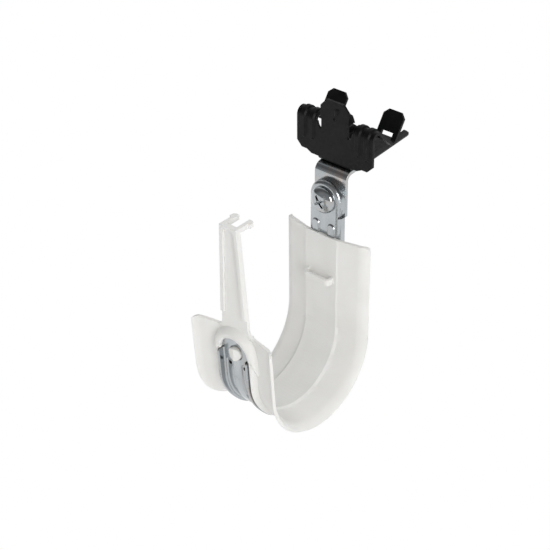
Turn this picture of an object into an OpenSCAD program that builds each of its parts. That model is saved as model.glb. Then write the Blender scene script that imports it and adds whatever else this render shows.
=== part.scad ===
// J hook cable support: a plastic saddle on a zinc-plated steel J, screwed to an
// L bracket that hangs from a spring-steel clip for the edge of a beam flange.
// Millimetres. X runs along the cables, -Y is the open side, +Z is up. The modules
// measure from the axis of the cable bundle; hung() then puts the origin where the
// beam's flange rests on the clip, midway between its side flanges, below the teeth.

/* [Saddle] */
// Radius of the cable channel at its middle band
band_r = 24.4; // [20:0.2:30]
// Half width of the raised middle band
band_half = 8.3; // [7:0.1:9]
// Step from the side walls up to the middle band
band_step = 0.55; // [0.2:0.05:0.8]
// Wall thickness of the side walls
wall_t = 1.6; // [1.2:0.1:1.8]
// Outward tilt of the side walls, in degrees
side_tilt = 10; // [5:1:14]
// Half width of the saddle over the flared rims
saddle_half = 22.4; // [19:0.2:26]
// Radius of the flared rim
flare_r = 8.4; // [6:0.2:10]
// Angle that the flare reaches at its edge, in degrees
flare_end = 50; // [40:1:60]
// Wall thickness at the edge of the flare
rim_t = 1.3; // [1:0.1:1.5]
// Height of the saddle's back wall
back_h = 43.2; // [36:0.2:46]
// Height of the front lip, along its own slope
front_h = 23.7; // [21:0.1:26]
// Outward lean of the front lip, in degrees
lip_lean = 4; // [2:1:6]
// Corner radius of the walls at the rims
corner_r = 3; // [1:0.1:4]

/* [Retaining arm] */
// Length of the arm above the front lip
arm_len = 49.5; // [45:0.5:52]
// Half width of the arm where it leaves the lip
arm_base_half = 7.1; // [6.5:0.1:7.6]
// Half width of the arm at its top
arm_top_half = 4.4; // [4:0.1:5]
// Outward lean of the arm, in degrees
arm_lean = 2; // [0:0.5:4]
// Thickness of the arm's plate, which flexes when the arm is folded shut
arm_t = 1.5; // [1.2:0.1:1.8]
// Height of the edge ribs above the plate
arm_rib_h = 0.9; // [0.5:0.1:1.4]
// Width of the edge ribs
arm_rib_w = 1.7; // [1.2:0.1:2]
// Length of the plain, flexible stretch below the ribs
arm_flex = 8; // [6:0.5:12]
// Length of the two snap prongs behind the arm
prong_len = 7.2; // [5:0.2:9]

/* [Catch loop] */
// Height of the loop's middle above the bundle's axis
loop_z = 23.4; // [18:0.2:30]
// Half width of the loop
loop_half = 7; // [6:0.1:8]
// How far the loop stands off the band
loop_reach = 4; // [3.6:0.1:5]
// Height of the loop's bar
loop_h = 3; // [2:0.1:4]
// Thickness of the loop's bar
loop_t = 1.3; // [1:0.1:1.6]

/* [Steel J strip] */
// Sheet thickness of the strip
strip_t = 1.2; // [1:0.1:1.5]
// Half width over the strip's flanges
strip_half = 8.2; // [7:0.1:9]
// Depth of the channel from its web's inner face to its flanges' edges
strip_d = 3.8; // [3:0.1:4.5]
// Outer bend radius between web and flange
strip_bend = 2; // [1.6:0.1:2.4]
// Height of the screw's hole above the bundle's axis
screw_z = 59.2; // [56:0.2:66]
// Height of the peg's hole, along the front lip's slope
peg_z = 13.2; // [12:0.1:15]
// Depth of the two stiffening beads
bead_d = 0.6; // [0.3:0.05:0.7]

/* [Angle bracket] */
// Sheet thickness of the bracket
bracket_t = 1.5; // [1.2:0.1:2]
// Half width of the bracket
bracket_half = 8.2; // [7.5:0.1:9]
// Height of the seat above the screw, at the bracket's front face
seat_up = 12.5; // [11:0.1:20]
// Rise of the seat towards the back, in degrees
seat_rise = 5.2; // [3:0.1:8]
// Outer bend radius of the bracket
bracket_bend = 4; // [2.5:0.1:5]
// Length of the seat, from the bracket's front face
seat_len = 18; // [16:0.5:24]

/* [Beam clip] */
// Sheet thickness of the spring steel
clip_t = 1.2; // [1:0.1:1.4]
// Half width of the clip's front wall over both wings
clip_half = 19.8; // [19.6:0.1:21]
// Half width over the base channel's side flanges
base_half = 11; // [10:0.1:12]
// Height of the side flanges
base_h = 4.2; // [3.5:0.1:5]
// Length of the base channel, from the bracket's front face
base_len = 37.8; // [34:0.2:44]
// Height of the jaws' bends above the base, at the front wall
jaw_h = 20.7; // [20:0.1:26]
// Width of a jaw
jaw_w = 10.2; // [9.9:0.1:10.6]
// Fall of the jaws' arms, in degrees
jaw_fall = 44.5; // [40:0.5:52]
// Gap between the side flanges' edges and the teeth of the jaws
bite_gap = 5.6; // [4.4:0.1:7]
// Lean of the tabs from upright, in degrees
tab_lean = 33; // [25:1:40]
// Length of the tabs above the teeth
tab_len = 11.3; // [9:0.1:14]
// Height of the middle tongue above the base, at the front wall
tongue_h = 28.8; // [27:0.1:31]
// How far the tongue's side flanges are folded back
tongue_fold = 4.2; // [3:0.1:6]
// Height of the pressed ribs on the jaws
rib_h = 0.7; // [0.3:0.05:0.8]

/* [Fasteners] */
// Diameter of the pan head
head_d = 12; // [11:0.1:13]
// Height of the pan head
head_h = 3.6; // [3:0.1:4.5]
// Diameter of the screw's shank
shank_d = 6.2; // [6:0.05:6.35]
// Width of the nut across its flats
nut_af = 10; // [9:0.1:11]
// Height of the nut
nut_h = 3.2; // [2.8:0.1:5]
// Diameter of the rivet's shank
rivet_d = 4.8; // [4:0.1:5.5]

/* [Hidden] */
eps = 0.01;
seam = 0.02;                                    // how much thinner the J's legs are than its curve
seam_lap = 0.3;
$seam = 0;
bend_lap = 0.3;                                 // how far a flat runs on into a folded bend
seat_z = screw_z + seat_up;
$fn = 64;

// saddle
strip_r = 26;                                   // inner face of the strip's web
side_r = band_r + band_step;                    // side wall where it meets the band
side_x = band_half + 0.25;
flare_x = saddle_half - flare_r * (sin(flare_end) - sin(side_tilt));
flare_r0 = side_r + (flare_x - side_x) * tan(side_tilt);
guide_x = strip_half + 0.15;                    // inner face of the ribs beside the strip
guide_w = 1.35;
guide_r = strip_r + 3.2;
bead_x = 4.1;                                   // middle of each stiffening bead
bead_half = 2.1;
bead_front = 6.6;

// hood round the strip's front end
hood_open_r = 7.5;
hood_r = 12;
hood_fade = 8;
hood_slope = atan((guide_r - side_r - wall_t) / hood_fade);
web_front = strip_r + strip_t;
hood_gap = 0.1;
hood_front = web_front + hood_gap + 1.3;
peg_d = 6;
peg_hole_d = 6.8;

// arm and catch
arm_foot = 4;                                   // how far the arm runs down into the lip
prong_w = 1.7;
prong_x = 2.7;
prong_h = 2;
barb_w = 1.1;
barb_len = 2.8;

// strip
flange_r = strip_r + strip_d;
end_r = strip_half;
notch_h = 2;
notch_x = 7.2;
front_notch_h = 0.9;
screw_hole_d = shank_d + 0.8;

// bracket
leg_y = flange_r;
leg_low = screw_z - 8.8;                        // lower edge of the bracket
leg_chamfer = 1.2;
notch_z = leg_low + 1.8;
bead_top = leg_low - 1.4;
seat_dir = [cos(seat_rise), sin(seat_rise)];
seat_n = [-sin(seat_rise), cos(seat_rise)];

// clip
wall_y = leg_y + 2.2;                           // outer face of the front wall
wall_z = seat_z + (wall_y - leg_y) * tan(seat_rise);
base_bend = 2.5;
jaw_bend = 3.2;
jaw_x = clip_half - jaw_w / 2;                  // middle of each jaw
rib_in = 7.9;                                   // pressed ribs: middles from the wing's edge,
rib_out = 3.3;                                  // and half width
rib_half = 1.9;
rib_xs = [clip_half - rib_in, clip_half - rib_out];
rib_low = 9.7;                                  // middle of a rib's foot above the base
rib_run = 3.4;                                  // how far it runs down the jaw's arm
rib_back = 0.5;                                 // depth of their hollow backs
rib_root = 0.5;                                 // how deep it starts inside the sheet
wing_low = 3.4;                                 // lower edge of the wings above the base
wing_chamfer = 2.6;
wing_root = 14.5;
wall_foot = 12;                                 // half width of the wall's lower edge
fold_half = bracket_half + 0.2;                 // half width of the fold between wall and base
body_half = 7.3;                                // middle body above the relief slots
slot_r = 3;
slot_z = 17.4;
slot_wide = 2.2;
slot_x = 6.85;
shoulder_h = 25.6;
tongue_half = 4.3;
pilot_d = 1.5;
pilot_z = 21.3;
tip_r = 1.2;                                    // inner radius of the bend at the teeth
tab_chamfer = 2.1;
window_half = 2.8;
window_up = 2.4;
window_down = 4;
flange_from = 4.6;                              // where the side flanges start, past the bend
flange_past = 5.4;                              // how far they run on past the base plate
flange_chamfer = 1.6;
left_short = 3;                                 // how far the left flange ends before the plate
flange_bend = 2;
rivet_at = 11;                                  // along the seat, from the bracket's face
rivet_head_d = 8.5;
rivet_head_h = 1.4;
nut_bevel = 0.5;
screw_end = 0.7;                                // how far the screw stands past its nut
shank_len = strip_d + bracket_t + nut_h + screw_end;

// Puts the origin at the beam's seat on the clip
module hung() {
    translate([0, -grip[0], -grip[1]]) children();
}

// Carries its children, modelled as if the lip stood upright, into the lip's lean.
module lip_frame() {
    rotate([lip_lean, 0, 0]) children();
}

// Straight leg of the J. It is a hair thinner than the curve and runs on into it.
module leg(len) {
    $seam = seam;
    translate([0, 0, -seam_lap]) linear_extrude(len + seam_lap) children();
}

// Sweeps a section (radius, x) down the back, round the bottom and up the front lip.
module j_sweep(back, front) {
    $seam = 0;
    rotate([0, 0, 90]) leg(back) children();
    rotate([90, 0, 90]) rotate([0, 0, 180 + lip_lean])
        rotate_extrude(angle = 180 - lip_lean, $fn = 144) children();
    if (front > 0) lip_frame() rotate([0, 0, -90]) leg(front) children();
}

// One side of the saddle's wall: step, tilted wall and flare, as (radius, x) points.
function flare_in(a, g = 0) = [flare_r0 + flare_r * (cos(side_tilt) - cos(a)),
    flare_x + flare_r * (sin(a) - sin(side_tilt))] + g * [cos(a), -sin(a)];
function flare_t(a) = wall_t + (rim_t - wall_t) * (a - side_tilt) / (flare_end - side_tilt);
function flare_angles(g) = let (end = flare_end - g * 180 / PI / flare_r)
    [for (i = [0:10]) side_tilt + (end - side_tilt) * i / 10];
function side_in(g) = concat([[band_r + g, 0], [band_r + g, band_half - g],
    [side_r + g, side_x - g]], [for (a = flare_angles(g)) flare_in(a, g)]);
function side_out(g) = concat([[strip_r - g, 0], [strip_r - g, side_x]],
    [for (a = flare_angles(g)) flare_in(a, flare_t(a) - g)]);
function reversed(list) = [for (i = [len(list) - 1:-1:0]) list[i]];

module wall_section() {
    outline = concat(side_in($seam), reversed(side_out($seam)));
    for (s = [0, 1]) mirror([0, s]) polygon(outline);
}

// Ribs that hold the strip's flanges from the sides
module guide_section() {
    g = $seam;
    for (s = [0, 1]) mirror([0, s])
        polygon([[side_r + wall_t / 2, guide_x + g], [guide_r - 0.3 - g, guide_x + g],
            [guide_r - g, guide_x + 0.3], [guide_r - g, guide_x + guide_w - 0.6],
            [guide_r - 0.6 - g, guide_x + guide_w - g],
            [side_r + wall_t, guide_x + guide_w + 0.8 - g],
            [side_r + wall_t / 2, guide_x + guide_w + 0.8 - g]]);
}

// Grooves in the wall's back that clear the strip's beads
module bead_section(r0, r1, grow = 0) {
    wide = bead_half + grow - $seam;
    for (s = [-1, 1])
        polygon([[r0, s * bead_x - wide], [r1 + $seam, s * bead_x - wide + 0.5],
            [r1 + $seam, s * bead_x + wide - 0.5], [r0, s * bead_x + wide]]);
}

// Rounds off the rims' corners at height h of a wall that faces back (+1) or front (-1)
module corner_cut(h, face) {
    for (s = [0, 1]) mirror([s, 0, 0]) mirror([0, face > 0 ? 1 : 0, 0])
        translate([saddle_half, 0, h]) rotate([90, 0, 0]) difference() {
            translate([-corner_r, -corner_r, 0]) cube([2 * corner_r, 2 * corner_r, 2 * band_r]);
            translate([-corner_r, -corner_r, -1]) cylinder(r = corner_r, h = 2 * band_r + 2);
        }
}

// The raised arch of plastic round the strip's front end, in the lip's frame.
// Its profile (distance from the strip's middle, height) is turned over the top.
module hood_profile() {
    polygon([[guide_x, side_r], [guide_x, guide_r], [guide_x + 1.2, guide_r],
        [guide_x + 2, guide_r - 0.35], [guide_x + 2.8, guide_r - 1.1],
        [hood_r, side_r + wall_t], [hood_r, side_r]]);
}

// The arch's flanks run down the lip and fade into the ribs beside the strip
module hood_flank() {
    difference() {
        rotate([90, 0, 0]) linear_extrude(hood_fade)
            polygon([[guide_x + 1, side_r + 0.2], [guide_x + 1, guide_r - 0.1],
                [guide_x + 1.8, guide_r - 0.4], [guide_x + 2.7, guide_r - 1.15],
                [hood_r - 0.1, side_r + wall_t], [hood_r - 0.1, side_r + 0.2]]);
        translate([0, 0, guide_r]) rotate([hood_slope, 0, 0])
            translate([guide_x, -2 * hood_fade, 0]) cube([6, 2 * hood_fade, 6]);
    }
}

module hood() {
    translate([0, 0, peg_z]) rotate([90, 0, 0]) {
        rotate_extrude(angle = 180) hood_profile();
        for (s = [0, 1]) mirror([s, 0, 0]) hood_flank();
        // flat lip over the edge of the strip's web
        difference() {
            intersection() {
                translate([0, 0, web_front + hood_gap])
                    cylinder(r = guide_x + 0.5, h = guide_r - web_front - hood_gap);
                translate([-20, 0, 0]) cube([40, 20, 40]);
            }
            translate([0, 0, 20]) cylinder(r = hood_open_r, h = 20);
            translate([0, 0, hood_front]) cylinder(r1 = hood_open_r, r2 = guide_x + 0.4,
                h = guide_r - hood_front + eps);
        }
    }
}

module arm_outline(inset = 0, low = 0, high = 0) {
    slope = (arm_base_half - arm_top_half) / arm_len;
    bottom = arm_base_half - slope * low - inset;
    top = arm_top_half + slope * high - inset;
    polygon([[-bottom, low], [bottom, low], [top, arm_len - high], [-top, arm_len - high]]);
}

// Curved blends between the arm's sides and the lip's top edge
module arm_fillets(r = 2.6) {
    for (s = [0, 1]) mirror([s, 0]) difference() {
        translate([arm_base_half - 0.6, -0.4]) square([r + 0.6, r + 0.4]);
        translate([arm_base_half + r, r]) circle(r = r);
    }
}

module channel_outline() {
    top_half = arm_top_half - arm_rib_w;
    arm_outline(inset = arm_rib_w, low = arm_flex - 1, high = 3.8);
    translate([0, arm_len - 3.8]) circle(r = top_half + 0.15);
}

module arm() {
    rotate([90, 0, 0]) {
        translate([0, 0, -arm_t]) linear_extrude(arm_t) {
            arm_outline(low = -arm_foot);
            arm_fillets();
        }
        linear_extrude(arm_rib_h) difference() {
            arm_outline(low = arm_flex);
            channel_outline();
        }
    }
    for (s = [0, 1]) mirror([s, 0, 0]) translate([prong_x, arm_t - eps, arm_len - prong_h])
        prong();
}

// Snap prong: passes into the catch loop and holds behind its bar
module prong() {
    cube([prong_w, prong_len, prong_h]);
    linear_extrude(prong_h) polygon([[prong_w - eps, prong_len - barb_len],
        [prong_w + barb_w, prong_len - barb_len + 0.4], [prong_w + barb_w - 0.3, prong_len - 0.6],
        [prong_w - 0.4, prong_len], [prong_w - eps, prong_len]]);
}

module loop_outline(inset) {
    half = loop_half - inset;
    reach = loop_reach - inset;
    r = max(0.6, 2.2 - inset);
    translate([-half, 0]) square([2 * half, reach - r]);
    translate([r - half, 0]) square([2 * (half - r), reach]);
    for (s = [-1, 1]) translate([s * (half - r), reach - r]) circle(r = r);
}

module catch_loop() {
    translate([0, band_r, loop_z - loop_h / 2]) mirror([0, 1, 0]) difference() {
        translate([0, -0.3, 0]) linear_extrude(loop_h) union() {
            translate([-loop_half, 0]) square([2 * loop_half, 0.5]);
            translate([0, 0.3]) loop_outline(0);
        }
        translate([0, 0, -1]) linear_extrude(loop_h + 2) difference() {
            loop_outline(loop_t);
            translate([-10, -1]) square([20, 1]);
        }
    }
}

// Peg that snaps into the hole near the strip's front end, with a faceted face
module peg() {
    translate([0, 0, peg_z]) rotate([90, 0, 0]) intersection() {
        translate([0, 0, side_r]) cylinder(d = peg_d, h = hood_front + 0.9 - side_r);
        union() {
            translate([-peg_d, -peg_d, side_r]) cube([2 * peg_d, 2 * peg_d, web_front - side_r]);
            rotate([90, 0, 0]) translate([0, 0, -peg_d]) linear_extrude(2 * peg_d)
                polygon([[-peg_d / 2, web_front - 1], [peg_d / 2, web_front - 1],
                    [peg_d / 2, web_front + 0.5], [0.2, hood_front + 0.5],
                    [-peg_d / 2, web_front + 1.1]]);
        }
    }
}

module saddle() {
    color("white") hung() difference() {
        union() {
            difference() {
                union() {
                    j_sweep(back_h, front_h) wall_section();
                    j_sweep(back_h - 4, peg_z) guide_section();
                }
                corner_cut(back_h, 1);
                lip_frame() corner_cut(front_h, -1);
            }
            lip_frame() {
                hood();
                peg();
                difference() {
                    translate([0, -side_r - wall_t, front_h])
                        rotate([arm_lean - lip_lean, 0, 0]) arm();
                    // the strip's round end stays clear
                    translate([0, 0, peg_z]) rotate([90, 0, 0])
                        cylinder(r = guide_x + 0.2, h = guide_r);
                }
            }
            catch_loop();
        }
        // grooves for the strip's beads
        j_sweep(back_h + 1, bead_front + bead_half + 0.3)
            bead_section(strip_r + 0.1, strip_r - bead_d - 0.1, 0.15);
    }
}

// Half section of the strip's channel, (radius, x), with rounded bends
function bend_pts(r) = [for (i = [0:6]) let (a = 90 - i * 15)
    [strip_r + strip_bend - r * sin(a), strip_half - strip_bend + r * cos(a)]];
function strip_outline(g = 0) = concat([[strip_r + g, 0]], bend_pts(strip_bend - g),
    [[flange_r - g, strip_half - g], [flange_r - g, strip_half - strip_t + g]],
    reversed(bend_pts(strip_bend - strip_t + g)), [[strip_r + strip_t - g, 0]]);

module strip_section() {
    outline = strip_outline($seam);
    for (s = [0, 1]) mirror([0, s]) polygon(outline);
}

// Pressed beads from radius r0 in to r1: ridges on the inner face, hollows on the outer
module beads(r0, r1) {
    j_sweep(bead_top - bead_half, bead_front) bead_section(r0, r1);
    for (s = [-1, 1]) {
        translate([s * bead_x, r0, bead_top - bead_half]) rotate([90, 0, 0])
            cylinder(r1 = bead_half, r2 = bead_half - 0.5, h = r0 - r1);
        lip_frame() translate([s * bead_x, -r0, bead_front]) rotate([-90, 0, 0])
            cylinder(r1 = bead_half, r2 = bead_half - 0.5, h = r0 - r1);
    }
}

// Round upper end: the flange runs on round it as a closed rim
module strip_top() {
    translate([0, 0, screw_z]) rotate([90, 0, 0]) mirror([0, 0, 1]) rotate_extrude(angle = 180)
        polygon(concat([[0, strip_r]], [for (p = strip_outline()) [p[1], p[0]]]));
}

module j_strip() {
    color("lightsteelblue") hung() difference() {
        union() {
            j_sweep(screw_z, peg_z) strip_section();
            strip_top();
            lip_frame() translate([0, -web_front, peg_z]) rotate([-90, 0, 0])
                cylinder(r = end_r - 0.05, h = strip_t);
            beads(strip_r + 0.1, strip_r - bead_d);
        }
        beads(web_front + 0.1, web_front - bead_d);
        // relief notches beside the bracket's lower end
        for (s = [0, 1]) mirror([s, 0, 0])
            translate([notch_x, strip_r - 1, notch_z]) cube([3, strip_d + 2, notch_h]);
        // flanges end below the round front end
        lip_frame() for (s = [0, 1]) mirror([s, 0, 0]) {
            translate([notch_x, -flange_r - 1, peg_z - front_notch_h]) cube([3, 6, front_notch_h]);
            translate([0, -flange_r - 1, peg_z - eps]) cube([12, strip_d - strip_t + 1, 12]);
        }
        translate([0, strip_r - 1, screw_z]) rotate([-90, 0, 0])
            cylinder(d = screw_hole_d, h = strip_t + 2);
        lip_frame() translate([0, -web_front - 1, peg_z]) rotate([-90, 0, 0])
            cylinder(d = peg_hole_d, h = strip_t + 2);
    }
}

// Turns a drawing in the depth-height plane into a solid between two widths
module across(x0, x1) {
    translate([x0, 0, 0]) rotate([90, 0, 90]) linear_extrude(x1 - x0) children();
}

// Places children on the seat: x across, y along the seat, z out of it
module on_seat() {
    translate([0, leg_y, seat_z]) rotate([seat_rise, 0, 0]) children();
}

// Points along an arc, for the bends of folded sheet
function arc_pts(c, r, a0, a1, n = 10) = [for (i = [0:n]) let (a = a0 + (a1 - a0) * i / n)
    c + r * [cos(a), sin(a)]];

bracket_c = [leg_y + bracket_bend,
    seat_z - bracket_bend * (1 - sin(seat_rise)) / cos(seat_rise)];
bracket_turn = (bracket_c - [leg_y, seat_z]) * seat_dir;

module angle_bracket() {
    color("silver") hung() difference() {
        union() {
            across(-bracket_half, bracket_half) polygon(concat([[leg_y, leg_low]],
                arc_pts(bracket_c, bracket_bend, 180, 90 + seat_rise),
                arc_pts(bracket_c, bracket_bend - bracket_t, 90 + seat_rise, 180),
                [[leg_y + bracket_t, leg_low]]));
            on_seat() translate([-bracket_half, bracket_turn - bend_lap, -bracket_t])
                cube([2 * bracket_half, seat_len - bracket_turn + bend_lap, bracket_t]);
        }
        translate([0, leg_y - 1, screw_z]) rotate([-90, 0, 0])
            cylinder(d = screw_hole_d, h = bracket_t + 2);
        on_seat() translate([0, rivet_at, -bracket_t - 1])
            cylinder(d = rivet_d, h = bracket_t + 2);
        for (s = [0, 1]) mirror([s, 0, 0]) {
            translate([bracket_half, leg_y - 1, leg_low]) rotate([0, 45, 0])
                translate([-leg_chamfer, 0, -leg_chamfer])
                    cube([2 * leg_chamfer, bracket_t + 2, 2 * leg_chamfer]);
            on_seat() translate([bracket_half, seat_len, -bracket_t - 1]) rotate([0, 0, 45])
                translate([-1.4, -1.4, 0]) cube([2.8, 2.8, bracket_t + 2]);
        }
    }
}

// Pan-head screw with a cross recess, driven from the open side
module pan_screw() {
    color("gainsboro") hung() translate([0, strip_r, screw_z]) rotate([90, 0, 0]) {
        difference() {
            pan_head();
            rotate([0, 0, 12]) cross_recess();
        }
        mirror([0, 0, 1]) {
            translate([0, 0, -eps]) cylinder(d = shank_d, h = shank_len - 0.8 + eps);
            translate([0, 0, shank_len - 0.8])
                cylinder(d1 = shank_d, d2 = shank_d - 1.6, h = 0.8);
        }
    }
}

module pan_head() {
    rim = 1.1;
    dome = head_d / 2;
    rotate_extrude() polygon(concat([[0, 0], [dome, 0], [dome, rim]],
        [for (i = [1:8]) let (a = i * 11.25)
            [dome - 1.9 + 1.9 * cos(a), rim + (head_h - rim - 0.25) * sin(a)]],
        [[0, head_h]]));
}

module cross_recess() {
    depth = 2.3;
    intersection() {
        translate([0, 0, head_h - depth]) cylinder(r1 = 1.2, r2 = 3.5, h = depth + 0.1);
        for (a = [0, 90]) rotate([0, 0, a])
            translate([-4, -0.65, head_h - depth]) cube([8, 1.3, depth + 1]);
    }
}

module hex_nut() {
    color("gainsboro") hung() translate([0, leg_y + bracket_t, screw_z]) rotate([-90, 0, 0])
        difference() {
            intersection() {
                rotate([0, 0, 30]) cylinder(d = nut_af / cos(30), h = nut_h, $fn = 6);
                union() {
                    cylinder(r1 = nut_af / 2, r2 = nut_af / 2 + 2 * nut_bevel, h = nut_bevel);
                    translate([0, 0, nut_bevel])
                        cylinder(r = nut_af / 2 + 2 * nut_bevel, h = nut_h - 2 * nut_bevel);
                    translate([0, 0, nut_h - nut_bevel])
                        cylinder(r1 = nut_af / 2 + 2 * nut_bevel, r2 = nut_af / 2, h = nut_bevel);
                }
            }
            translate([0, 0, -1]) cylinder(d = shank_d, h = nut_h + 2);
        }
}

base_c = [wall_y + base_bend, seat_z
    + (base_bend + sin(seat_rise) * (wall_y + base_bend - leg_y)) / cos(seat_rise)];
base_turn = (base_c - [leg_y, seat_z]) * seat_dir;
jaw_c = [wall_y + jaw_bend, wall_z + jaw_h - jaw_bend];
fall_dir = [cos(jaw_fall), -sin(jaw_fall)];
fall_n = [sin(jaw_fall), cos(jaw_fall)];
fall_from = jaw_c + (jaw_bend - clip_t) * fall_n;

// The jaw's arm falls until its teeth stand the bite gap above the side flanges
tip_out = tip_r + clip_t;
fall_top = jaw_c + (jaw_bend + tip_r) * fall_n;
fall_len = (base_h + bite_gap + tip_out - (fall_top - [leg_y, seat_z]) * seat_n)
    / (fall_dir * seat_n);
tip_c = fall_top + fall_len * fall_dir;
tab_dir = [sin(tab_lean), cos(tab_lean)];
tab_n = [cos(tab_lean), -sin(tab_lean)];
wall_low = base_c[1] - wall_z - 0.6;
grip = [tip_c[0], seat_z + (tip_c[0] - leg_y) * tan(seat_rise) + base_h / cos(seat_rise)];
bend_h = jaw_h - jaw_bend;

// Outline of the front wall, seen from the front; heights are above the base
module wall_outline() {
    difference() {
        union() {
            polygon([[-wall_foot, wall_low], [wall_foot, wall_low], [wing_root, wing_low],
                [clip_half - wing_chamfer, wing_low], [clip_half, wing_low + wing_chamfer],
                [clip_half, bend_h], [-clip_half, bend_h],
                [-clip_half, wing_low + wing_chamfer], [wing_chamfer - clip_half, wing_low],
                [-wing_root, wing_low]]);
            polygon([[-body_half, slot_z], [body_half, slot_z], [body_half, shoulder_h],
                [tongue_half, tongue_h], [-tongue_half, tongue_h], [-body_half, shoulder_h]]);
        }
        for (s = [0, 1]) mirror([s, 0]) relief();
        translate([0, pilot_z]) circle(d = pilot_d, $fn = 32);
    }
}

// Lens-shaped relief slot and the slit that frees the wing from the body above it
module relief() {
    inner = clip_half - jaw_w;
    intersection() {
        translate([slot_x, slot_z - slot_r]) square([slot_wide + 1, 2 * slot_r]);
        translate([slot_x + slot_wide - slot_r, slot_z]) circle(r = slot_r);
    }
    polygon([[body_half, slot_z], [slot_x + slot_wide, slot_z], [inner, bend_h - eps],
        [inner, bend_h + 1], [body_half, bend_h + 1]]);
}

// Pressed ribs of a jaw, from radius r0 out to r1 of its bend: up the wing, round the
// bend and down the arm. The straight runs are a hair lower than the curve.
module rib_section(r0, r1) {
    for (x = rib_xs) polygon([[r0, x - rib_half], [r1 - $seam, x - rib_half + 1],
        [r1 - $seam, x + rib_half - 1], [r0, x + rib_half]]);
}

module jaw_ribs(r0, r1) {
    foot = wall_z + rib_low;
    $seam = seam;
    translate([0, jaw_c[0], foot]) rotate([0, 0, -90])
        linear_extrude(jaw_c[1] - foot + 0.2) rib_section(r0, r1);
    translate([0, jaw_c[0], jaw_c[1]]) rotate([-jaw_fall, 0, 0]) rotate([-90, -90, 0])
        translate([0, 0, -0.2]) linear_extrude(rib_run + 0.2) rib_section(r0, r1);
    translate([0, jaw_c[0], jaw_c[1]]) rotate([90, 0, 90]) rotate([0, 0, 90 - jaw_fall])
        rotate_extrude(angle = 90 + jaw_fall) rib_section(r0, r1, $seam = 0);
    for (x = rib_xs) {
        translate([x, jaw_c[0] - r0, foot]) rotate([90, 0, 0])
            cylinder(r1 = rib_half, r2 = rib_half - 1, h = r1 - seam - r0);
        translate([0, jaw_c[0], jaw_c[1]]) rotate([-jaw_fall, 0, 0])
            translate([x, rib_run, r0])
                cylinder(r1 = rib_half, r2 = rib_half - 1, h = r1 - seam - r0);
    }
}

// A jaw's strip in the depth-height plane: wall, bend, falling arm, teeth and tab
module jaw_profile() {
    low = wall_z + slot_z;
    tab = tip_c + tab_len * tab_dir;
    polygon(concat([[wall_y, low]],
        arc_pts(jaw_c, jaw_bend, 180, 90 - jaw_fall),
        arc_pts(tip_c, tip_r, -90 - jaw_fall, -tab_lean),
        [tab + tip_r * tab_n, tab + tip_out * tab_n],
        arc_pts(tip_c, tip_out, -tab_lean, -90 - jaw_fall),
        arc_pts(jaw_c, jaw_bend - clip_t, 90 - jaw_fall, 180),
        [[wall_y + clip_t, low]]));
}

module jaw() {
    x0 = jaw_x - jaw_w / 2;
    difference() {
        union() {
            across(x0, x0 + jaw_w) jaw_profile();
            jaw_ribs(jaw_bend - rib_root, jaw_bend + rib_h);
        }
        // the ribs' hollow backs
        jaw_ribs(jaw_bend - clip_t - 0.1, jaw_bend - clip_t + rib_back);
        // corners of the tab
        for (s = [0, 1]) translate([jaw_x, 0, 0]) mirror([s, 0, 0])
            translate([jaw_w / 2, tip_c[0], tip_c[1]]) rotate([-tab_lean, 0, 0])
                translate([0, 0, tab_len]) rotate([0, 45, 0])
                    translate([-5, -1, -tab_chamfer / sqrt(2)]) cube([10, 5, 10]);
        // window that leaves two teeth
        translate([jaw_x - window_half, tip_c[0], tip_c[1]]) {
            rotate([-tab_lean, 0, 0]) translate([0, -1, -1])
                cube([2 * window_half, 6, window_up + 1]);
            rotate([-jaw_fall, 0, 0]) translate([0, -window_down, -6])
                cube([2 * window_half, window_down + 1, 6]);
            translate([0, -tip_out, -tip_out - 1])
                cube([2 * window_half, 2 * tip_out, tip_out + 1]);
        }
    }
}

// Foot of the front wall and its bend, in the depth-height plane
module base_profile() {
    top = base_c[1] + 2;
    polygon(concat([[wall_y, top]],
        arc_pts(base_c, base_bend, 180, 270 + seat_rise),
        arc_pts(base_c, base_bend - clip_t, 270 + seat_rise, 180),
        [[wall_y + clip_t, top]]));
}

module base_section() {
    inner = flange_bend - clip_t;
    difference() {
        union() {
            translate([flange_bend - base_half, 0])
                square([2 * (base_half - flange_bend), base_h]);
            translate([-base_half, flange_bend]) square([2 * base_half, base_h - flange_bend]);
            for (s = [-1, 1]) translate([s * (base_half - flange_bend), flange_bend])
                circle(r = flange_bend);
        }
        translate([flange_bend - base_half, clip_t])
            square([2 * (base_half - flange_bend), base_h]);
        translate([clip_t - base_half, flange_bend]) square([2 * (base_half - clip_t), base_h]);
        for (s = [-1, 1]) translate([s * (base_half - flange_bend), flange_bend])
            circle(r = inner);
    }
}

module base_channel() {
    plate_len = base_len - flange_past;
    left_len = plate_len - left_short;
    on_seat() difference() {
        translate([0, base_len, 0]) rotate([90, 0, 0])
            linear_extrude(base_len - base_turn + bend_lap) base_section();
        // the plate widens and its side flanges start clear of the fold
        for (s = [0, 1]) mirror([s, 0, 0]) translate([fold_half, base_turn - 1, -1])
            cube([base_half, flange_from + 1, base_h + 2]);
        // the plate ends before the side flanges do
        translate([flange_bend - base_half, plate_len, -1])
            cube([2 * (base_half - flange_bend), flange_past + 1, 5]);
        // only the right side flange runs on past the plate
        translate([-base_half - 1, left_len, -1])
            cube([flange_bend + 1, base_len - left_len + 1, base_h + 2]);
        for (side = [[-base_half - 1, left_len], [0, base_len]])
            translate([side[0], side[1], base_h]) rotate([-45, 0, 0])
                translate([0, -5, -flange_chamfer / sqrt(2)]) cube([base_half + 1, 10, 10]);
    }
}

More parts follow.
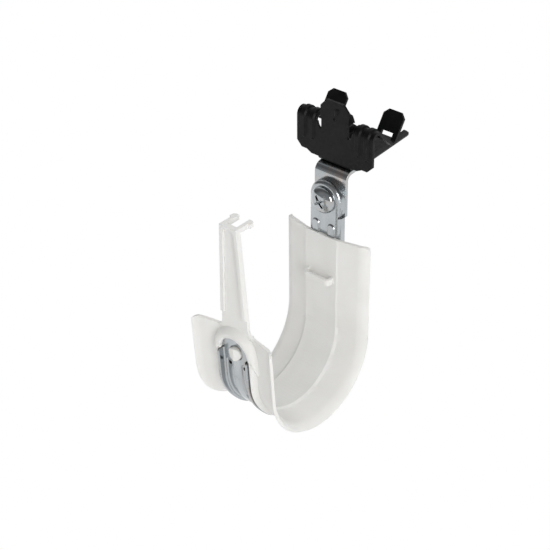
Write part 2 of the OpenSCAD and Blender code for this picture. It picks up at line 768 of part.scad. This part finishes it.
// Flanges folded back from both sides of the tongue
module tongue_flanges() {
    root = wall_z + bend_h + jaw_bend;
    top = wall_z + shoulder_h;
    for (s = [0, 1]) mirror([s, 0, 0]) across(body_half - clip_t, body_half)
        polygon([[wall_y + 0.1, root], [wall_y + 0.1, top], [wall_y + 1.2, top],
            [wall_y + tongue_fold - 1.5, top - 1.2], [wall_y + tongue_fold - 0.7, top - 3],
            [wall_y + tongue_fold, root]]);
}

module beam_clip() {
    color("dimgray") hung() difference() {
        union() {
            translate([0, wall_y + clip_t, wall_z]) rotate([90, 0, 0])
                linear_extrude(clip_t) wall_outline();
            across(-fold_half, fold_half) base_profile();
            base_channel();
            for (s = [0, 1]) mirror([s, 0, 0]) jaw();
            tongue_flanges();
        }
        on_seat() translate([0, rivet_at, -1]) cylinder(d = rivet_d, h = clip_t + 2);
    }
}

// Rivet through the clip's base and the bracket's seat
module clip_rivet() {
    color("darkgray") hung() on_seat() translate([0, rivet_at, 0]) {
        translate([0, 0, -bracket_t - rivet_head_h])
            cylinder(d1 = rivet_head_d - 2, d2 = rivet_head_d, h = rivet_head_h);
        translate([0, 0, -bracket_t - eps]) cylinder(d = rivet_d, h = bracket_t + clip_t + 2 * eps);
        translate([0, 0, clip_t])
            cylinder(d1 = rivet_head_d, d2 = rivet_head_d - 2, h = rivet_head_h);
    }
}

saddle();
j_strip();
angle_bracket();
pan_screw();
hex_nut();
beam_clip();
clip_rivet();
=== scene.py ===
import math
import bpy
from mathutils import Matrix, Vector


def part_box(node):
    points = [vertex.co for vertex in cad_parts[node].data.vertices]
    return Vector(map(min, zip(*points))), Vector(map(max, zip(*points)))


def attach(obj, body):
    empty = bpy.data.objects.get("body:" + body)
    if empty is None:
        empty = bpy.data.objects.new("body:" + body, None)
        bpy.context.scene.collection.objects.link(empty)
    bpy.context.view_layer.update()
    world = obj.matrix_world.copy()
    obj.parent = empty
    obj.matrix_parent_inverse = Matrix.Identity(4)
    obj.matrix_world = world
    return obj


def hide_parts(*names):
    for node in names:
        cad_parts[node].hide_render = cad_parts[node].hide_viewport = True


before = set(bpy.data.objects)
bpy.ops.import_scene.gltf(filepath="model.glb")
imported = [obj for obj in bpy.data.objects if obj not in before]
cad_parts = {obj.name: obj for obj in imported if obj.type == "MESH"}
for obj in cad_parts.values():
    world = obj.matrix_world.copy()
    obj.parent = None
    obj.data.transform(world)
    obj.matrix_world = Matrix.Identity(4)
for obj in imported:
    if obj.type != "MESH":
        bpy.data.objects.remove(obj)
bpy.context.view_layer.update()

bpy.context.scene.view_settings.view_transform = "Standard"


# ---------------------------------------------------------------------------
# Camera: stands in front of the hook, to its right and above it, with a long
# lens, so that the whole hook is in the frame with room on every side.
axis_y, axis_z = -0.0455635, -0.0773519      # the bundle's axis, from the clip's grip
turn, lift, roll = math.radians(42.42), math.radians(32.56), math.radians(-0.71)
right = Vector((math.cos(turn), math.sin(turn), 0))
away = Vector((math.sin(turn) * math.cos(lift), -math.cos(turn) * math.cos(lift),
               math.sin(lift)))
up = away.cross(right)
right, up = (math.cos(roll) * right + math.sin(roll) * up,
             math.cos(roll) * up - math.sin(roll) * right)
look = Matrix((right, up, away)).transposed()
shift_x, shift_y, distance = 0.00319, -0.02951, 0.60194
place = look @ Vector((-shift_x, -shift_y, distance)) + Vector((0, axis_y, axis_z))
lens = bpy.data.cameras.new("view")
lens.sensor_width = 36
lens.lens = 93.8618
lens.clip_end = 20
view = bpy.data.objects.new("view", lens)
bpy.context.collection.objects.link(view)
view.matrix_world = Matrix.Translation(place) @ look.to_4x4()
bpy.context.scene.camera = view


# ---------------------------------------------------------------------------
# Studio: a white floor well below the hook, a key lamp on the right, a weak
# fill in front on the left, and a broad lamp above. Metal mirrors the white
# floor, and above it a greyer room.
def node_in(tree, kind, **settings):
    node = tree.nodes.new(kind)
    for name, value in settings.items():
        setattr(node, name, value)
    return node


def any_ray(tree, *kinds):
    """1 where the ray is of one of the kinds, and otherwise 0."""
    path = node_in(tree, "ShaderNodeLightPath")
    found = path.outputs[kinds[0]]
    for kind in kinds[1:]:
        either = node_in(tree, "ShaderNodeMath", operation="MAXIMUM")
        tree.links.new(found, either.inputs[0])
        tree.links.new(path.outputs[kind], either.inputs[1])
        found = either.outputs[0]
    return found


def light_room(strength, window, shades):
    """Even light from all round. Metal mirrors the shades, brightest toward window."""
    world = bpy.data.worlds.new("studio")
    bpy.context.scene.world = world
    world.use_nodes = True
    tree = world.node_tree
    links = tree.links
    soft = tree.nodes["Background"]
    soft.inputs["Color"].default_value = (1, 1, 1, 1)
    soft.inputs["Strength"].default_value = strength
    backdrop = node_in(tree, "ShaderNodeBackground")
    backdrop.inputs["Color"].default_value = (1, 1, 1, 1)
    mirrored = node_in(tree, "ShaderNodeBackground")
    where = node_in(tree, "ShaderNodeTexCoord")
    facing = node_in(tree, "ShaderNodeVectorMath", operation="DOT_PRODUCT")
    links.new(where.outputs["Generated"], facing.inputs[0])
    facing.inputs[1].default_value = window
    ramp = node_in(tree, "ShaderNodeValToRGB")
    while len(ramp.color_ramp.elements) < len(shades):
        ramp.color_ramp.elements.new(0.5)
    for stop, (position, shade) in zip(ramp.color_ramp.elements, shades):
        stop.position = position
        stop.color = (shade, shade, shade * 1.01, 1)
    span = node_in(tree, "ShaderNodeMapRange")
    span.inputs["From Min"].default_value = -1
    links.new(facing.outputs["Value"], span.inputs["Value"])
    links.new(span.outputs[0], ramp.inputs["Fac"])
    links.new(ramp.outputs["Color"], mirrored.inputs["Color"])
    lit = node_in(tree, "ShaderNodeMixShader")
    links.new(any_ray(tree, "Is Glossy Ray"), lit.inputs["Fac"])
    links.new(soft.outputs[0], lit.inputs[1])
    links.new(mirrored.outputs[0], lit.inputs[2])
    seen = node_in(tree, "ShaderNodeMixShader")
    links.new(any_ray(tree, "Is Camera Ray", "Is Transmission Ray"), seen.inputs["Fac"])
    links.new(lit.outputs[0], seen.inputs[1])
    links.new(backdrop.outputs[0], seen.inputs[2])
    links.new(seen.outputs[0], tree.nodes["World Output"].inputs["Surface"])


light_room(strength=0.52, window=(-0.40, 0.75, 0.53), shades=(
    (0.00, 0.36), (0.35, 0.28), (0.52, 0.11), (0.70, 0.16), (0.85, 0.55), (1.0, 0.8)))


def lamp(name, at, size, power, aim, in_metal=True):
    light = bpy.data.lights.new(name, "AREA")
    light.shape = "RECTANGLE"
    light.size, light.size_y = size
    light.energy = power
    obj = bpy.data.objects.new(name, light)
    bpy.context.collection.objects.link(obj)
    obj.location = at
    obj.visible_glossy = in_metal
    obj.rotation_euler = (Vector(aim) - Vector(at)).to_track_quat("-Z", "Y").to_euler()


middle = (0, axis_y, axis_z + 0.03)
lamp("key", (1.00, -0.50, 0.25), size=(0.5, 0.6), power=5.6, aim=middle)
lamp("fill", (-0.35, -1.10, 0.25), size=(0.8, 0.7), power=1.25, aim=middle, in_metal=False)
lamp("top", (0.10, 0.35, 1.00), size=(0.9, 0.9), power=3.2, aim=middle, in_metal=False)

floor_drop = 0.16
bpy.ops.object.select_all(action="DESELECT")
bpy.ops.mesh.primitive_plane_add(size=6, location=(0, 0, axis_z - floor_drop))
floor = bpy.context.active_object
floor.name = "floor"
paper = bpy.data.materials.new("paper")
paper.use_nodes = True
tree = paper.node_tree
card = tree.nodes["Principled BSDF"]
card.inputs["Base Color"].default_value = (0.9, 0.9, 0.9, 1)
card.inputs["Roughness"].default_value = 0.9
glow = node_in(tree, "ShaderNodeEmission")
glow.inputs["Color"].default_value = (1, 1, 1, 1)
seen = node_in(tree, "ShaderNodeMixShader")
shown_white = any_ray(tree, "Is Camera Ray", "Is Glossy Ray", "Is Transmission Ray")
tree.links.new(shown_white, seen.inputs["Fac"])
tree.links.new(card.outputs[0], seen.inputs[1])
tree.links.new(glow.outputs[0], seen.inputs[2])
tree.links.new(seen.outputs[0], tree.nodes["Material Output"].inputs["Surface"])
floor.data.materials.append(paper)


# ---------------------------------------------------------------------------
# Saddle: one moulding in white nylon, with its arm, catch loop, hood and peg.
# The skin is satin, with a faint grain from the mould and soft moulded edges.
def new_material(name, metallic, ior):
    mat = bpy.data.materials.new(name)
    mat.use_nodes = True
    shader = mat.node_tree.nodes["Principled BSDF"]
    shader.inputs["Metallic"].default_value = metallic
    shader.inputs["IOR"].default_value = ior
    return mat, mat.node_tree, shader


def grain(tree, size, detail=2.0, stretch=(1, 1, 1)):
    """Noise whose blots are about size across, in metres."""
    where = node_in(tree, "ShaderNodeTexCoord")
    mapping = node_in(tree, "ShaderNodeMapping")
    mapping.inputs["Scale"].default_value = stretch
    tree.links.new(where.outputs["Object"], mapping.inputs["Vector"])
    noise = node_in(tree, "ShaderNodeTexNoise")
    noise.inputs["Scale"].default_value = 1 / size
    noise.inputs["Detail"].default_value = detail
    tree.links.new(mapping.outputs[0], noise.inputs["Vector"])
    return noise.outputs["Fac"]


def colours(tree, fac, stops):
    ramp = node_in(tree, "ShaderNodeValToRGB")
    while len(ramp.color_ramp.elements) < len(stops):
        ramp.color_ramp.elements.new(0.5)
    for stop, (position, colour) in zip(ramp.color_ramp.elements, stops):
        stop.position = position
        stop.color = (*colour, 1)
    tree.links.new(fac, ramp.inputs["Fac"])
    return ramp.outputs["Color"]


def spread(tree, fac, low, high):
    """A noise's middle range, spread between low and high."""
    span = node_in(tree, "ShaderNodeMapRange")
    span.inputs["From Min"].default_value = 0.3
    span.inputs["From Max"].default_value = 0.7
    span.inputs["To Min"].default_value = low
    span.inputs["To Max"].default_value = high
    tree.links.new(fac, span.inputs["Value"])
    return span.outputs["Result"]


def rounded_edges(tree, radius):
    """(rounded normal, how near a point is to an outer or inner edge)."""
    rounded = node_in(tree, "ShaderNodeBevel", samples=12)
    rounded.inputs["Radius"].default_value = radius
    flat = node_in(tree, "ShaderNodeNewGeometry")
    agree = node_in(tree, "ShaderNodeVectorMath", operation="DOT_PRODUCT")
    tree.links.new(rounded.outputs[0], agree.inputs[0])
    tree.links.new(flat.outputs["Normal"], agree.inputs[1])
    edge = node_in(tree, "ShaderNodeMapRange")
    edge.inputs["From Min"].default_value = 1.0
    edge.inputs["From Max"].default_value = 0.8
    tree.links.new(agree.outputs["Value"], edge.inputs["Value"])
    return rounded.outputs[0], edge.outputs["Result"]


def tint(tree, fac, below, above):
    mix = node_in(tree, "ShaderNodeMix", data_type="RGBA")
    tree.links.new(fac, mix.inputs["Factor"])
    for socket, colour in ((mix.inputs[6], below), (mix.inputs[7], above)):
        if isinstance(colour, tuple):
            socket.default_value = (*colour, 1)
        else:
            tree.links.new(colour, socket)
    return mix.outputs[2]


def bumps(tree, heights, normal):
    """Chains bumps of (height, depth in metres) onto a normal."""
    for height, depth in heights:
        bump = node_in(tree, "ShaderNodeBump")
        bump.inputs["Distance"].default_value = depth
        bump.inputs["Strength"].default_value = 1.0
        tree.links.new(height, bump.inputs["Height"])
        tree.links.new(normal, bump.inputs["Normal"])
        normal = bump.outputs[0]
    return normal


def pick(piece):
    """Makes the piece the only selected one, and the active one."""
    bpy.ops.object.select_all(action="DESELECT")
    piece.select_set(True)
    bpy.context.view_layer.objects.active = piece


def merge_near(distance):
    """Merges the active piece's points that lie closer than distance."""
    bpy.ops.object.mode_set(mode="EDIT")
    bpy.ops.mesh.select_all(action="SELECT")
    bpy.ops.mesh.remove_doubles(threshold=distance)
    bpy.ops.object.mode_set(mode="OBJECT")


def bare_copy(node, name):
    """The node's own shape as a free piece, with its loose triangles merged."""
    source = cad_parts[node]
    piece = bpy.data.objects.new(name, source.data.copy())
    bpy.context.collection.objects.link(piece)
    pick(piece)
    merge_near(0.000002)
    piece.data.materials.clear()
    return piece


def eased(value, low, high):
    t = min(1, max(0, (value - low) / (high - low)))
    return t * t * (3 - 2 * t)


def even_shading(piece):
    """Rounds the shading over small turns, led by the larger faces."""
    pick(piece)
    bpy.ops.object.mode_set(mode="EDIT")
    bpy.ops.mesh.select_all(action="SELECT")
    bpy.ops.mesh.dissolve_limited(angle_limit=math.radians(0.05), delimit={"NORMAL"})
    bpy.ops.object.mode_set(mode="OBJECT")
    bpy.ops.object.shade_smooth_by_angle(angle=math.radians(15))
    lead = piece.modifiers.new("lead", "WEIGHTED_NORMAL")
    lead.weight = 90
    lead.keep_sharp = True
    bpy.ops.object.modifier_apply(modifier="lead")


def draw_in_below(piece, base, keep, inner_x, outer_x):
    """Keeps only a share of what stands out past the radius base, round the J's bottom."""
    for vert in piece.data.vertices:
        y, z = vert.co.y - axis_y, vert.co.z - axis_z
        r = math.hypot(y, z)
        if z > 0 or r <= base or not inner_x <= abs(vert.co.x) <= outer_x:
            continue
        angle = math.degrees(math.atan2(-z, -y))      # from 0 in front to 180 at the back
        drawn = eased(angle, 0, 42) * (1 - eased(angle, 150, 180))
        scale = (base + (r - base) * (1 - (1 - keep) * drawn)) / r
        vert.co.y, vert.co.z = axis_y + y * scale, axis_z + z * scale
    even_shading(piece)


nylon, tree, shader = new_material("white_nylon", 0, 1.53)
soft_edge, edge = rounded_edges(tree, 0.00030)
cloud = colours(tree, grain(tree, 0.014, 3), ((0.35, (0.80, 0.795, 0.77)),
                                              (0.65, (0.835, 0.83, 0.81))))
tree.links.new(tint(tree, edge, cloud, (0.85, 0.848, 0.83)), shader.inputs["Base Color"])
tree.links.new(spread(tree, grain(tree, 0.003, 4), 0.36, 0.46), shader.inputs["Roughness"])
shader.inputs["Specular IOR Level"].default_value = 0.28
tree.links.new(bumps(tree, ((grain(tree, 0.0006), 0.000006), (grain(tree, 0.009), 0.00004)),
                     soft_edge), shader.inputs["Normal"])
shader.inputs["Subsurface Weight"].default_value = 0.15
shader.inputs["Subsurface Radius"].default_value = (1.0, 0.9, 0.75)
shader.inputs["Subsurface Scale"].default_value = 0.0018
saddle = bare_copy("saddle", "moulded_saddle")
# The band's step runs out wider and softer onto the side walls, which are tilted
step_x, step_r, step_run = 0.00855, 0.02495, 0.0009
near_x, near_r = 0.00003, 0.0004
side_slope = math.tan(math.radians(10))
bend_from, bend_turn = 4, 176 / 48      # the band's own facets round the bend, in degrees
for vert in saddle.data.vertices:
    y, z = vert.co.y - axis_y, vert.co.z - axis_z
    reach = math.hypot(y, z) if z < 0 else abs(y)
    if abs(abs(vert.co.x) - step_x) < near_x and abs(reach - step_r) < near_r:
        vert.co.x += math.copysign(step_run, vert.co.x)
        fallen = reach + step_run * side_slope
        if z < 0:
            turns = (math.degrees(math.atan2(-z, -y)) - bend_from) / bend_turn
            angle = math.radians(bend_from + round(turns) * bend_turn)
            vert.co.y = axis_y - fallen * math.cos(angle)
            vert.co.z = axis_z - fallen * math.sin(angle)
        else:
            vert.co.y = axis_y + math.copysign(fallen, y)
merge_near(0.00001)
draw_in_below(saddle, base=0.02745, keep=0.40, inner_x=0.0080, outer_x=0.0100)
saddle.data.materials.append(nylon)
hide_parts("saddle")
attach(saddle, "root")


# ---------------------------------------------------------------------------
# Steel J strip and angle bracket: cold-rolled strip, pressed and bent, then
# zinc plated and passivated, so it is bluish, with streaks along the roll.
def finish_of(node, material):
    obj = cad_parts[node]
    if not obj.material_slots:
        obj.data.materials.append(material)
    for slot in obj.material_slots:
        slot.material = material


def zinc_plate(name, along, shine, edge_rub_and_shade=(0.64, 0.66, 0.68), edge_size=0.00012,
               stain=(0.45, 0.44, 0.43)):
    """Plated steel, streaked along the roll, a little stained, and tinted at its edges: a light
    edge tint is rubbed metal, a dark one is painted shade along edges and creases.
    """
    mat, tree, shader = new_material(name, 1, 1.5)
    soft, edge = rounded_edges(tree, edge_size)
    hue = colours(tree, grain(tree, 0.006, 4, along), (
            (0.30, stain), (0.48, (0.435, 0.465, 0.483)), (0.70, (0.52, 0.543, 0.556))))
    tree.links.new(tint(tree, edge, hue, edge_rub_and_shade), shader.inputs["Base Color"])
    tree.links.new(spread(tree, grain(tree, 0.0016, 6, along), shine - 0.05, shine + 0.08),
                   shader.inputs["Roughness"])
    tree.links.new(bumps(tree, ((grain(tree, 0.0004, 3, along), 0.000004),
                                (grain(tree, 0.005, 2, along), 0.00003)), soft),
                   shader.inputs["Normal"])
    return mat


def cut_out(piece, cutter, material_mode="INDEX"):
    """Takes the cutter out of the piece, and then out of the scene."""
    pick(piece)
    cut = piece.modifiers.new("cut", "BOOLEAN")
    cut.operation = "DIFFERENCE"
    cut.solver = "EXACT"
    cut.object = cutter
    cut.material_mode = material_mode
    bpy.ops.object.modifier_apply(modifier="cut")
    bpy.data.objects.remove(cutter)


strip = bare_copy("j_strip", "pressed_strip")
# The strip's dark brown edge tint (0.33, 0.29, 0.285) is painted shade along its edges and bead
# creases.
strip.data.materials.append(zinc_plate("zinc_strip", (1, 0.35, 0.35), 0.21,
                                       edge_rub_and_shade=(0.33, 0.29, 0.285), edge_size=0.00030))
# The pits cut at the bead ends get a near-black metal: painted shade in the recesses.
pit_painted_shade, tree, shader = new_material("painted_shade_pit", 1, 1.5)
tree.links.new(colours(tree, grain(tree, 0.0006, 3), (
    (0.3, (0.035, 0.036, 0.038)), (0.7, (0.075, 0.072, 0.07)))), shader.inputs["Base Color"])
shader.inputs["Roughness"].default_value = 0.6
draw_in_below(strip, base=0.0273, keep=0.45, inner_x=0.0, outer_x=0.0100)
bead_ends = ((-0.00441, -0.07255, -0.07342), (0.00375, -0.07255, -0.07318))
for bead_end in bead_ends:
    bpy.ops.object.select_all(action="DESELECT")
    bpy.ops.mesh.primitive_cone_add(vertices=12, radius1=0.0012, radius2=0.00065, depth=0.0019,
                                    location=bead_end, rotation=(-math.pi / 2, 0, 0))
    punch = bpy.context.active_object
    punch.data.materials.append(pit_painted_shade)
    cut_out(strip, punch, material_mode="TRANSFER")
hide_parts("j_strip")
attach(strip, "root")
finish_of("angle_bracket", zinc_plate("zinc_bracket", (1, 0.4, 0.4), 0.20,
                                      stain=(0.58, 0.50, 0.46)))


# ---------------------------------------------------------------------------
# Screw and nut: a rolled steel screw with a domed head and a cross recess, and
# a hexagon nut behind it, both bright zinc plated. They clamp bracket to strip.
bright = zinc_plate("zinc_bright", (1, 1, 1), 0.09)
finish_of("hex_nut", bright)
low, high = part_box("pan_screw")
head_r, brim, crown = 0.0059, 0.0006, 0.0030
disc_r, disc = 0.0058, 0.0004
screw_z = (low[2] + high[2]) / 2
seat_y = low[1] + brim + crown


def shape_end(piece, toward, rings):
    """Draws the end face that looks toward -Y or +Y out through (radius, reach) rings."""
    bpy.ops.object.mode_set(mode="EDIT")
    bpy.ops.mesh.select_mode(type="FACE")
    bpy.ops.mesh.select_all(action="DESELECT")
    bpy.ops.object.mode_set(mode="OBJECT")
    for face in piece.data.polygons:
        face.select = face.normal.y * toward > 0.9
    bpy.ops.object.mode_set(mode="EDIT")
    radius, reach = rings[0]
    for next_radius, next_reach in rings[1:]:
        bpy.ops.mesh.extrude_region_move(
            TRANSFORM_OT_translate={"value": (0, toward * (next_reach - reach), 0)})
        ratio = next_radius / radius
        bpy.ops.transform.resize(value=(ratio, 1, ratio), center_override=(0, seat_y, screw_z))
        radius, reach = next_radius, next_reach
    bpy.ops.object.mode_set(mode="OBJECT")


bpy.ops.object.select_all(action="DESELECT")
bpy.ops.mesh.primitive_cylinder_add(vertices=72, radius=disc_r, depth=disc,
                                    location=(0, seat_y - disc / 2, screw_z),
                                    rotation=(math.pi / 2, 0, 0))
screw = bpy.context.active_object
screw.name = "domed_screw"
bpy.ops.object.transform_apply(location=True, rotation=True, scale=True)
dome = [(disc_r, disc), (head_r, brim)]
dome += [(head_r * math.cos(a), brim + crown * math.sin(a))
         for a in (math.radians(step) for step in range(9, 84, 6))]
shape_end(screw, -1, dome)
shank_r, shank_end = 0.0030, high[1] - seat_y
thread_run, pitch, thread_depth, chamfer = 0.0060, 0.0006, 0.00035, 0.0004
shank = [(disc_r, 0.0), (shank_r, 0.00001)]
thread = shank_end - thread_run
while thread < shank_end - chamfer:
    shank += [(shank_r, thread), (shank_r - thread_depth, thread + pitch / 2)]
    thread += pitch
shank += [(shank_r, shank_end - chamfer / 2), (shank_r - chamfer, shank_end)]
shape_end(screw, 1, shank)
wing_size, wing_y, tip_width, tip_height = (0.0074, 0.0029, 0.0013), seat_y - 0.0025, 0.34, 0.55
for slant in (35, 125):
    bpy.ops.object.select_all(action="DESELECT")
    bpy.ops.mesh.primitive_cube_add(size=1, location=(0, wing_y, screw_z))
    wing = bpy.context.active_object
    wing.scale = wing_size
    bpy.ops.object.transform_apply(location=False, rotation=False, scale=True)
    for vert in wing.data.vertices:
        if vert.co.y > 0:
            vert.co.x *= tip_width
            vert.co.z *= tip_height
    wing.rotation_euler = (0, -math.radians(slant), 0)
    cut_out(screw, wing)
bpy.ops.object.shade_smooth_by_angle(angle=math.radians(35))
screw.data.materials.clear()
screw.data.materials.append(bright)
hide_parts("pan_screw")
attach(screw, "root")


# ---------------------------------------------------------------------------
# Beam clip: spring steel, stamped, bent, hardened and coated black. The
# coating is matt with a fine grain and rubs to a dull grey along the edges.
black, tree, shader = new_material("black_spring_steel", 0.0, 1.5)
soft_edge, edge = rounded_edges(tree, 0.00016)
patches = colours(tree, grain(tree, 0.004, 5), ((0.35, (0.0022, 0.0022, 0.0023)),
                                                (0.65, (0.0048, 0.0047, 0.0048))))
shader.inputs["Specular IOR Level"].default_value = 0.18
tree.links.new(tint(tree, edge, patches, (0.022, 0.022, 0.022)), shader.inputs["Base Color"])
tree.links.new(spread(tree, grain(tree, 0.0015, 5), 0.38, 0.55), shader.inputs["Roughness"])
tree.links.new(bumps(tree, ((grain(tree, 0.00035, 3), 0.00001),
                            (grain(tree, 0.003, 2), 0.00004)), soft_edge),
               shader.inputs["Normal"])
finish_of("beam_clip", black)


def seated_on(node, x, z, from_y):
    """The point of the node's face met on the way from from_y toward +Y."""
    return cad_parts[node].ray_cast(Vector((x, from_y, z)), Vector((0, 1, 0)))[1]


tongue_x, tongue_z, in_front = 0.0010, 0.0190, -0.05
dimple_r, dimple_size, narrowing = 0.001, (1.25, 0.45, 1.9), 0.45
bpy.ops.object.select_all(action="DESELECT")
seat = seated_on("beam_clip", tongue_x, tongue_z, in_front)
bpy.ops.mesh.primitive_uv_sphere_add(segments=32, ring_count=16, radius=dimple_r, location=seat)
dimple = bpy.context.active_object
dimple.name = "tongue_dimple"
for vert in dimple.data.vertices:
    taper = 1 - narrowing * eased(-vert.co.z, -0.0006, dimple_r)
    vert.co = Vector((vert.co.x * dimple_size[0] * taper, vert.co.y * dimple_size[1],
                      vert.co.z * dimple_size[2]))
dimple.rotation_euler = (0, math.radians(28), 0)
bpy.ops.object.transform_apply(location=True, rotation=True, scale=True)
bpy.ops.object.shade_smooth()
dimple.data.materials.append(black)
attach(dimple, "root")


# ---------------------------------------------------------------------------
# Rivet: plain steel with a dull, scuffed head on each side. It is set cold
# through the clip's base and the bracket's seat, and joins the two for good.
finish_of("clip_rivet", zinc_plate("rivet_steel", (1, 1, 1), 0.42))
